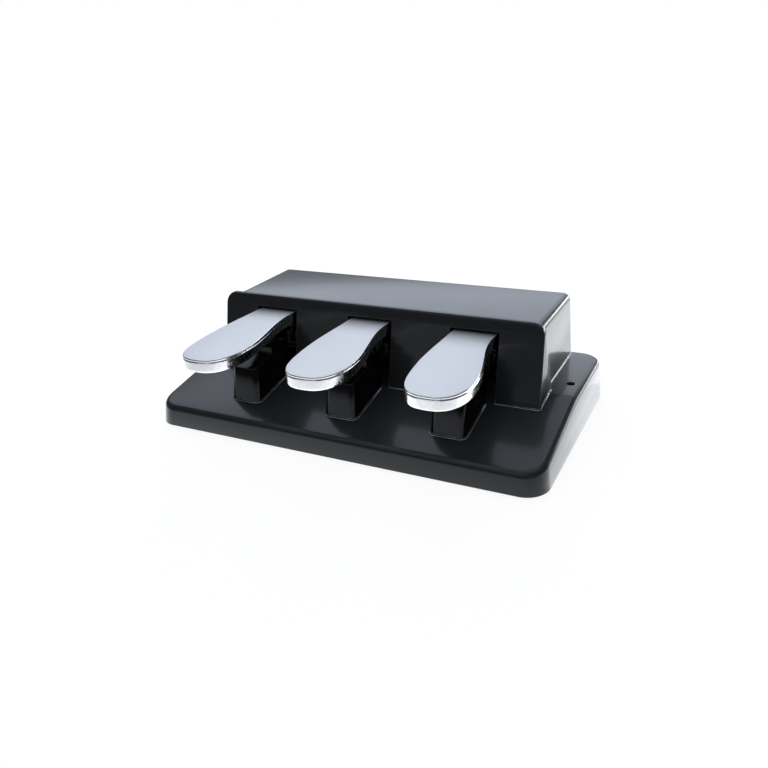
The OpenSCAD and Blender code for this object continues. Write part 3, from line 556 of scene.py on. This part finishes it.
# %% [markdown]
# The pedal is drawn level, around its pivot axis, and is turned to its slope at the end.
# Rings are cut with bisect at the heights of the bead and the groove, and shrink_fatten
# pulls each ring in by its depth, because a scale would squeeze the long sides more than
# the ends. Each pair in `rings` is a depth under the top and how far the ring is drawn in.

# %% The pedal casting
bpy.ops.mesh.primitive_circle_add(vertices=len(outline), radius=1, fill_type="NGON")
pedal = start_piece("pedal_plate_left")
edit(pedal)
bpy.ops.mesh.select_mode(type="VERT")
for number, (x, y) in enumerate(outline):
    bpy.ops.mesh.select_all(action="DESELECT")
    points = bmesh.from_edit_mesh(pedal.data).verts
    points.ensure_lookup_table()
    points[number].select_set(True)
    start = points[number].co.copy()
    bpy.ops.transform.translate(value=Vector((x, y, PEDAL_TOP)) * MM - start)
bpy.ops.mesh.select_all(action="SELECT")
bpy.ops.mesh.normals_make_consistent(inside=False)
bpy.ops.mesh.extrude_region_move(TRANSFORM_OT_translate={"value": (0, 0, -SKIRT_H * MM)})
bpy.ops.mesh.select_all(action="SELECT")
bpy.ops.mesh.normals_make_consistent(inside=False)
EDGE_R, UNDER_R = 0.9, 1.5
rings = [(1.2, 0.1), (1.5, 0.12), (1.8, 0.6), (2.2, 0.45), (2.7, 0.12), (3.1, 0.1), (7.9, 0.15),
         (SKIRT_H, 0.2)]
for depth, _ in rings[:-1]:
    cut_line((0, 0, (PEDAL_TOP - depth) * MM), (0, 0, 1))
for depth, pull in rings:
    pick("verts", lambda v: near(v.co.z, (PEDAL_TOP - depth) * MM))
    bpy.ops.transform.shrink_fatten(value=-pull * MM)
round_edges(EDGE_R, 5, lambda e: between(e, up, wall))
round_edges(UNDER_R, 5, lambda e: between(e, down, wall))
pick("faces", down)
bpy.ops.mesh.inset(thickness=(SKIRT_T - UNDER_R) * MM, depth=0)
pick("faces", lambda f: down(f) and len(f.verts) == len(outline))
bpy.ops.mesh.extrude_region_move(
    TRANSFORM_OT_translate={"value": (0, 0, (SKIRT_H - PLATE_T) * MM)})
leave_edit()
smooth(pedal, 32)
pedal.location = place(-SPACING, PIVOT_Y, PIVOT_Z)
pedal.rotation_euler = (-lean, 0, 0)
bpy.ops.object.transform_apply(location=True, rotation=True, scale=True)
pedals = {"left": pedal}

# %% [markdown]
# The three pedals and the three blocks are alike, so each is modelled once and copied,
# every copy with a mesh of its own and its place in that mesh.

# %% Copies for the other places


def shifted_copy(piece, name, dx):
    twin = piece.copy()
    twin.data = piece.data.copy()
    twin.name = name
    twin.data.name = name
    bpy.context.collection.objects.link(twin)
    twin.data.transform(Matrix.Translation((dx * MM, 0, 0)))
    return twin


block.data.transform(Matrix.Translation((-SPACING * MM, 0, 0)))
for name in ("centre", "right"):
    shift = (SIDES[name] + 1) * SPACING
    blocks[name] = shifted_copy(block, "block_" + name, shift)
    pedals[name] = shifted_copy(pedal, "pedal_plate_" + name, shift)
print("copies:", sorted(blocks), sorted(pedals))

# %% [markdown]
# ## The return springs
# A coil of round steel wire pushes each lever up and shortens as its pedal goes down. Each
# spring is modelled again as a piece of its own, with a mesh of its own. The wire's section is a
# small circle, the Screw modifier winds it up, and a face closes each end of the wire.

# %% Return springs
SPRING_R, WIRE, TURNS, SPRING_Y, SQUEEZED = 7.0, 1.8, 7, 128.0, 0.95
springs = {}
for name, side in SIDES.items():
    low_z, high_z = (corner[2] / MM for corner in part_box("return_spring_" + name))
    bpy.ops.mesh.primitive_circle_add(vertices=8, radius=WIRE / 2 * MM,
                                      location=((SPRING_R - WIRE / 2) * MM, 0, 0),
                                      rotation=(math.radians(90), 0, 0))
    spring = start_piece("coil_spring_" + name)
    winding = spring.modifiers.new("winding", "SCREW")
    winding.iterations = TURNS
    winding.screw_offset = (high_z - low_z - WIRE) / TURNS * MM
    winding.steps = winding.render_steps = 20
    apply_all(spring)
    edit(spring)
    bpy.ops.mesh.select_mode(type="EDGE")
    bpy.ops.mesh.select_non_manifold()
    bpy.ops.mesh.fill_holes(sides=0)
    bpy.ops.mesh.select_all(action="SELECT")
    bpy.ops.mesh.normals_make_consistent(inside=False)
    leave_edit()
    smooth(spring, 50)
    spring.location = place(side * SPACING, SPRING_Y, 0)
    spring.location.z = (low_z + WIRE / 2) * MM
    bpy.ops.object.transform_apply(location=True, rotation=False, scale=False)
    springs[name] = spring
print("spring faces:", len(spring.data.polygons), "from", round(low_z, 2), "to", round(high_z, 2))

# %% [markdown]
# ## Finishes
# Each finish is a small node tree on a Principled shader. Fine noise on Object coordinates
# gives the grain of moulded plastic or the soft unevenness of plating. The helpers below add
# one kind of node each, and every input is either another node's output or a plain value.

# %% Helpers for finishes
NOISE_LOW, NOISE_HIGH = 0.3, 0.7
finishes = {}


def set_inputs(node, inputs):
    """Give each named input of a node another node's output or a plain value."""
    for socket, value in inputs.items():
        if isinstance(value, bpy.types.NodeSocket):
            node.id_data.links.new(value, node.inputs[socket])
        else:
            node.inputs[socket].default_value = value


def add_node(tree, kind, inputs=None, **settings):
    node = tree.nodes.new("ShaderNode" + kind)
    for name, value in settings.items():
        setattr(node, name, value)
    set_inputs(node, inputs or {})
    return node


def new_finish(name, color, roughness, metallic=0.0):
    material = bpy.data.materials.new(name)
    material.use_nodes = True
    shader = material.node_tree.nodes["Principled BSDF"]
    set_inputs(shader, {"Base Color": (*color, 1), "Roughness": roughness, "Metallic": metallic})
    finishes[name] = material
    return material.node_tree, shader


def noise(tree, scale, detail=3.0, stretch=None):
    where = add_node(tree, "TexCoord").outputs["Object"]
    if stretch:
        where = add_node(tree, "Mapping", {"Vector": where, "Scale": stretch}).outputs["Vector"]
    texture = add_node(tree, "TexNoise", {"Vector": where, "Scale": scale, "Detail": detail})
    return texture.outputs["Fac"]


def map_range(tree, value, start, end, low=0.0, high=1.0):
    """Turn what lies between start and end into numbers between low and high."""
    return add_node(tree, "MapRange", {"Value": value, "From Min": start, "From Max": end,
                                       "To Min": low, "To Max": high}).outputs["Result"]


def spread(tree, fleck, low, high):
    """Turn a noise, which mostly lies in its middle range, into numbers from low to high."""
    return map_range(tree, fleck, NOISE_LOW, NOISE_HIGH, low, high)


def tint(tree, fleck, dark, light):
    """Turn a noise into colours between a dark and a light one."""
    ramp = add_node(tree, "ValToRGB", {"Fac": fleck})
    ends = zip(ramp.color_ramp.elements, (NOISE_LOW, NOISE_HIGH), (dark, light))
    for element, position, color in ends:
        element.position = position
        element.color = (*color, 1)
    return ramp.outputs["Color"]


def grain(tree, height, strength, distance):
    """Bump from a height; distance is in millimetres."""
    return add_node(tree, "Bump", {"Height": height, "Strength": strength,
                                   "Distance": distance * MM}).outputs["Normal"]


def calculate(tree, operation, *values):
    return add_node(tree, "Math", dict(enumerate(values)), operation=operation).outputs["Value"]


# %% [markdown]
# ### Pale edges: painted highlight and wear
# The lines where the shells meet the deck are made pale in the colour, a painted highlight that
# stands in for light caught along the foot. Higher up the edges are only faintly paler, as wear.
# The Bevel node's normal turns away from the true one only near an edge, which finds the
# edges. The height over the deck, level or sloped, then weakens the paleness further up.

# %% Helper for pale edges: painted highlight and wear
# The pale colour of the edges: painted highlight at the foot, wear higher up.
HIGHLIGHT_AND_WEAR = (0.75, 0.77, 0.8)
PALE_EDGE_R, EDGE_FROM, EDGE_TO = 0.7, 0.995, 0.93
PALE_FADES, PALE_FULL, PALE_ABOVE, PATCHES = 3.0, 1.0, 0.12, 140


def edge_highlight_and_wear(tree, plain):
    """The colour of a plastic, paler in patches along its edges: a painted highlight at the foot and
    faint wear higher up.
    """
    rounded = add_node(tree, "Bevel", {"Radius": PALE_EDGE_R * MM}, samples=6)
    flat = add_node(tree, "NewGeometry")
    turn = add_node(tree, "VectorMath", {0: rounded.outputs["Normal"], 1: flat.outputs["Normal"]},
                    operation="DOT_PRODUCT")
    edge = map_range(tree, turn.outputs["Value"], EDGE_FROM, EDGE_TO)
    where = add_node(tree, "TexCoord")
    axes = add_node(tree, "SeparateXYZ", {"Vector": where.outputs["Object"]})
    start = place(0, DRAFT, FRONT_H)
    rise = calculate(tree, "MULTIPLY_ADD", axes.outputs["Y"], SLOPE, start.z - SLOPE * start.y)
    deck = calculate(tree, "MINIMUM", rise, place(0, 0, DECK_H).z)
    height = calculate(tree, "SUBTRACT", axes.outputs["Z"], deck)
    # Painted highlight: the edge is palest in the last millimetres over the deck, where it stands in
    # for light caught by the lip.
    foot = map_range(tree, height, PALE_FADES * MM, PALE_FULL * MM, PALE_ABOVE)
    patches = calculate(tree, "MULTIPLY", edge, spread(tree, noise(tree, PATCHES, 3), 0.5, 1.0))
    share = calculate(tree, "MULTIPLY", patches, foot)
    blend = add_node(tree, "Mix", {"Factor": share, "A": plain, "B": (*HIGHLIGHT_AND_WEAR, 1)}, data_type="RGBA")
    return blend.outputs["Result"]


# %% [markdown]
# ### Black plastics
# The shells are satin black plastic with a very fine grain. A thin coat gives the clear,
# soft reflection that such a moulding shows at a flat angle. The blocks are the same
# plastic from a polished mould, so they are smoother. Both get pale edges: a painted
# highlight along their foot and faint wear higher up.

# %% Satin and gloss black
tree, shader = new_finish("satin_black", (0.026, 0.0275, 0.03), 0.34)
broad = noise(tree, 22, 4)
plain = tint(tree, broad, (0.024, 0.0255, 0.028), (0.029, 0.0305, 0.033))
set_inputs(shader, {"Coat Weight": 1.0, "Coat Roughness": 0.13, "Coat IOR": 1.22,
                    "Specular IOR Level": 0.14,
                    "Normal": grain(tree, noise(tree, 2600, 2), 0.08, 0.02),
                    "Roughness": spread(tree, broad, 0.32, 0.37),
                    "Base Color": edge_highlight_and_wear(tree, plain)})

tree, shader = new_finish("gloss_black", (0.004, 0.0042, 0.0055), 0.2)
plain = tint(tree, noise(tree, 22, 4), (0.0035, 0.0037, 0.0045), (0.0045, 0.0048, 0.006))
set_inputs(shader, {"Specular IOR Level": 0.17,
                    "Normal": grain(tree, noise(tree, 160, 2), 0.05, 0.05),
                    "Roughness": spread(tree, noise(tree, 30, 3), 0.11, 0.17),
                    "Base Color": edge_highlight_and_wear(tree, plain)})

tree, shader = new_finish("inner_black", (0.03, 0.03, 0.033), 0.5)
set_inputs(shader, {
    "Base Color": tint(tree, noise(tree, 60, 3), (0.024, 0.024, 0.027), (0.038, 0.038, 0.042)),
    "Normal": grain(tree, noise(tree, 1800, 2), 0.15, 0.03)})
print("finishes:", sorted(finishes))

# %% [markdown]
# ### The plated pedals
# A pedal is ground to a satin sheen on top and left polished along its edge. One material
# does both: the shader's roughness follows which way the surface faces. Stretched noise
# gives the fine lines of grinding along the top. The edge has patches from mirror-bright to
# satin, and a coarser bump, which together give the uneven gleam of a polished casting.

# %% Satin metal with a polished edge
EDGE_UNTIL, TOP_FROM = 0.75, 0.97
tree, shader = new_finish("satin_metal", (0.68, 0.68, 0.69), 0.4, 1.0)
facing = add_node(tree, "TexCoord").outputs["Normal"]
upward = map_range(tree, add_node(tree, "SeparateXYZ", {"Vector": facing}).outputs["Z"],
                   EDGE_UNTIL, TOP_FROM)


def top_or_edge(top, edge):
    """Mix two node outputs by how far the surface faces up."""
    return add_node(tree, "Mix", {"Factor": upward, "A": edge, "B": top}).outputs["Result"]


ground = noise(tree, 900, 3, (1.0, 0.03, 1.0))
broad = noise(tree, 25, 2)
ripple = noise(tree, 520, 4)
height = top_or_edge(spread(tree, ground, 0.0, 0.015), spread(tree, ripple, 0.0, 1.0))
set_inputs(shader, {
    "Roughness": top_or_edge(spread(tree, broad, 0.52, 0.57), spread(tree, ripple, 0.06, 0.3)),
    "Normal": grain(tree, height, 0.2, 0.1),
    "Base Color": tint(tree, broad, (0.67, 0.67, 0.68), (0.69, 0.69, 0.7))})

# %% [markdown]
# ### The metals inside
# Zinc-plated, ground and bright steels, nickel on the socket's nut and brass spacers. Each
# is one colour with a soft unevenness in shine, so a loop makes them all.

# %% Steels, nickel, brass
for name, color, rough in (("zinc_steel", (0.5, 0.51, 0.52), 0.38),
                           ("bright_steel", (0.62, 0.63, 0.65), 0.2),
                           ("screw_steel", (0.4, 0.4, 0.41), 0.34),
                           ("spring_steel", (0.45, 0.45, 0.47), 0.28),
                           ("nickel", (0.62, 0.6, 0.56), 0.18),
                           ("brass", (0.66, 0.5, 0.24), 0.3)):
    tree, shader = new_finish(name, color, rough, 1.0)
    broad = noise(tree, 120, 4)
    set_inputs(shader, {"Roughness": spread(tree, broad, rough - 0.06, rough + 0.08),
                        "Base Color": tint(tree, broad, tuple(c * 0.88 for c in color), color),
                        "Normal": grain(tree, noise(tree, 1500, 2), 0.06, 0.02)})
print("finishes:", sorted(finishes))

# %% [markdown]
# ### Everything else
# Powder-coated sheet, rubber, felt, nylon and the circuit board. Felt needs a coarse, deep
# grain and no shine at all, and rubber a dull one.

# %% Coating, rubber, felt, nylon, board
for name, color, rough, scale, strength, depth in (
        ("black_plate", (0.03, 0.03, 0.033), 0.48, 900, 0.35, 0.05),
        ("rubber", (0.02, 0.02, 0.021), 0.75, 1400, 0.3, 0.04),
        ("felt", (0.26, 0.045, 0.045), 0.95, 2200, 0.8, 0.2),
        ("nylon", (0.03, 0.03, 0.03), 0.42, 1200, 0.08, 0.02),
        ("board_black", (0.012, 0.015, 0.015), 0.3, 300, 0.08, 0.02)):
    tree, shader = new_finish(name, color, rough)
    dark = tuple(c * 0.82 for c in color)
    set_inputs(shader, {"Base Color": tint(tree, noise(tree, 90, 4), dark, color),
                        "Normal": grain(tree, noise(tree, scale, 3), strength, depth)})
print("finishes:", sorted(finishes))

# %% [markdown]
# Every CAD node and every new piece gets the finish of its material slot in the record.

# %% Finishes on the CAD nodes and the new pieces
slot_of = {part["node"]: part["material_slot"] for part in frame["record"]["subparts"]}


def finish_with(piece, slot):
    piece.data.materials.clear()
    piece.data.materials.append(finishes[slot])


for name, node in frame["nodes"].items():
    finish_with(node, slot_of[name])
stand_ins = [(base, "base_shell", "housing"), (cover, "housing_cover", "housing"),
             (panel, "front_fascia", "housing")]
for name in SIDES:
    stand_ins.append((blocks[name], "stop_block_" + name, "housing"))
    stand_ins.append((pedals[name], "pedal_" + name, name + "_pedal"))
    stand_ins.append((springs[name], "return_spring_" + name, "housing"))
for piece, node, body in stand_ins:
    finish_with(piece, slot_of[node])
    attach(piece, body)
    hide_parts(node)
for name, spring in springs.items():
    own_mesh(spring)
print("pieces:", [piece.name for piece, _, _ in stand_ins])

# %% [markdown]
# ## The stage
# A white floor and a white surround, as on a studio sweep. The camera sees both as white,
# and the floor keeps a faint shadow. Shiny pieces see the floor as a cool glow that fades
# with the distance from the middle. Mixing by the kind of ray keeps the white apart from the
# light that falls on the object. From below the floor is clear, so that a camera under it
# sees the underside.

# %% Floor
bpy.ops.object.select_all(action="DESELECT")
bpy.ops.mesh.primitive_plane_add(size=14, location=(0, 0, -0.2 * MM))
floor = bpy.context.object
floor.name = "floor"
tree, shader = new_finish("white_floor", (0.55, 0.55, 0.55), 0.8)
set_inputs(shader, {"Specular IOR Level": 0.0})
rays = add_node(tree, "LightPath")
where = add_node(tree, "TexCoord")
distance = add_node(tree, "VectorMath", {0: where.outputs["Object"]}, operation="LENGTH")


def glow_for(ray, share, color, near_to_far, under):
    """Let this kind of ray see a glow, which changes with distance, over the shader under it."""
    strength = map_range(tree, distance.outputs["Value"], *near_to_far)
    glow = add_node(tree, "Emission", {"Color": (*color, 1), "Strength": strength})
    part = calculate(tree, "MULTIPLY", rays.outputs[ray], share)
    return add_node(tree, "MixShader", {0: part, 1: under, 2: glow.outputs["Emission"]}).outputs[0]


seen = glow_for("Is Camera Ray", 0.72, (1, 1, 1), (0.3, 1.0, 1.28, 1.42), shader.outputs["BSDF"])
seen = glow_for("Is Glossy Ray", 1.0, (0.93, 0.96, 1), (0.12, 0.75, 1.9, 0.1), seen)
side_seen = add_node(tree, "NewGeometry").outputs["Backfacing"]
clear = add_node(tree, "BsdfTransparent").outputs["BSDF"]
one_sided = add_node(tree, "MixShader", {0: side_seen, 1: seen, 2: clear})
set_inputs(tree.nodes["Material Output"], {"Surface": one_sided.outputs["Shader"]})
floor.data.materials.append(finishes["white_floor"])

# %% [markdown]
# The lamps are seven soft panels that the camera does not see. Three stand behind: one at the
# left lights the level tops at a flat angle, a low and very bright one at the right draws
# thin lines along rounded edges and lips, and a high one fills in. One hangs in front and one
# overhead. Two lie on the floor at the right and light the right-hand sides from below, as
# a lit sweep does.

# %% Surround and panels
world = bpy.data.worlds.new("surround")
bpy.context.scene.world = world
world.use_nodes = True
tree = world.node_tree
soft_light = tree.nodes["Background"]
set_inputs(soft_light, {"Color": (0.95, 0.97, 1, 1), "Strength": 0.12})
white = add_node(tree, "Background", {"Color": (1, 1, 1, 1), "Strength": 1.0})
rays = add_node(tree, "LightPath")
blend = add_node(tree, "MixShader", {0: rays.outputs["Is Camera Ray"],
                                     1: soft_light.outputs["Background"],
                                     2: white.outputs["Background"]})
set_inputs(tree.nodes["World Output"], {"Surface": blend.outputs["Shader"]})
WHITE, COOL, FAINTLY_COOL = (1, 1, 1), (0.8, 0.87, 1), (0.92, 0.96, 1)


def panel_light(name, location, target, width, height, radiance, color):
    """A rectangular lamp at location that faces target; radiance 1 looks plain white."""
    lamp = bpy.data.lights.new(name, "AREA")
    lamp.shape = "RECTANGLE"
    lamp.size, lamp.size_y = width, height
    lamp.energy = radiance * math.pi * width * height
    lamp.color = color
    holder = bpy.data.objects.new(name, lamp)
    bpy.context.collection.objects.link(holder)
    holder.location = location
    aim = Vector(target) - Vector(location)
    holder.rotation_euler = aim.to_track_quat("-Z", "Y").to_euler()
    holder.visible_camera = False


# name, location, target, width, height, radiance, colour: all lengths in metres
for lamp in (
        ("back_panel", (-0.65, 1.75, 0.8), (0, 0, 0.05), 2.7, 0.57, 1.9, COOL),
        ("right_back_panel", (0.95, 1.65, 0.2), (0, 0, 0.05), 1.1, 0.3, 8.0, FAINTLY_COOL),
        ("high_panel", (-1.05, 1.2, 1.9), (0, 0, 0.05), 2.6, 1.6, 1.4, COOL),
        ("front_panel_light", (-0.3, -1.5, 1.9), (0, 0, 0.05), 2.4, 1.2, 0.8, COOL),
        ("near_floor_panel", (0.2625, 0.035, 0.001), (0.2625, 0.035, 1), 0.175, 0.19, 0.4, WHITE),
        ("far_floor_panel", (0.54, 0.5, 0.001), (0.54, 0.5, 1), 0.73, 0.74, 0.85, WHITE),
        ("top_panel", (0.35, 0.1, 2.2), (0, 0, 0), 1.8, 1.8, 1.05, COOL)):
    panel_light(*lamp)
bpy.context.scene.view_settings.view_transform = "Standard"

# %% [markdown]
# ## The camera
# A short-range view from the right and above, with a slight roll, as in a catalogue shot. Its
# place is in drawing millimetres, and its axes are the picture's right and upward directions.

# %% Camera
SENSOR_W, LENS, CAMERA_AT = 36.0, 35.37, (281.2, -421.0, 287.2)
camera_data = bpy.data.cameras.new("view")
camera_data.sensor_width = SENSOR_W
camera_data.lens = LENS
camera = bpy.data.objects.new("view", camera_data)
bpy.context.collection.objects.link(camera)
right_way = Vector((0.8918, 0.4485, -0.0597)).normalized()
up_way = Vector((-0.1374, 0.3942, 0.9087))
up_way = (up_way - up_way.dot(right_way) * right_way).normalized()
back_way = right_way.cross(up_way)
turn = Matrix((right_way, up_way, back_way)).transposed()
camera.matrix_world = Matrix.Translation(place(*CAMERA_AT)) @ turn.to_4x4()
bpy.context.scene.camera = camera
print("camera at", [round(v, 4) for v in camera.location])
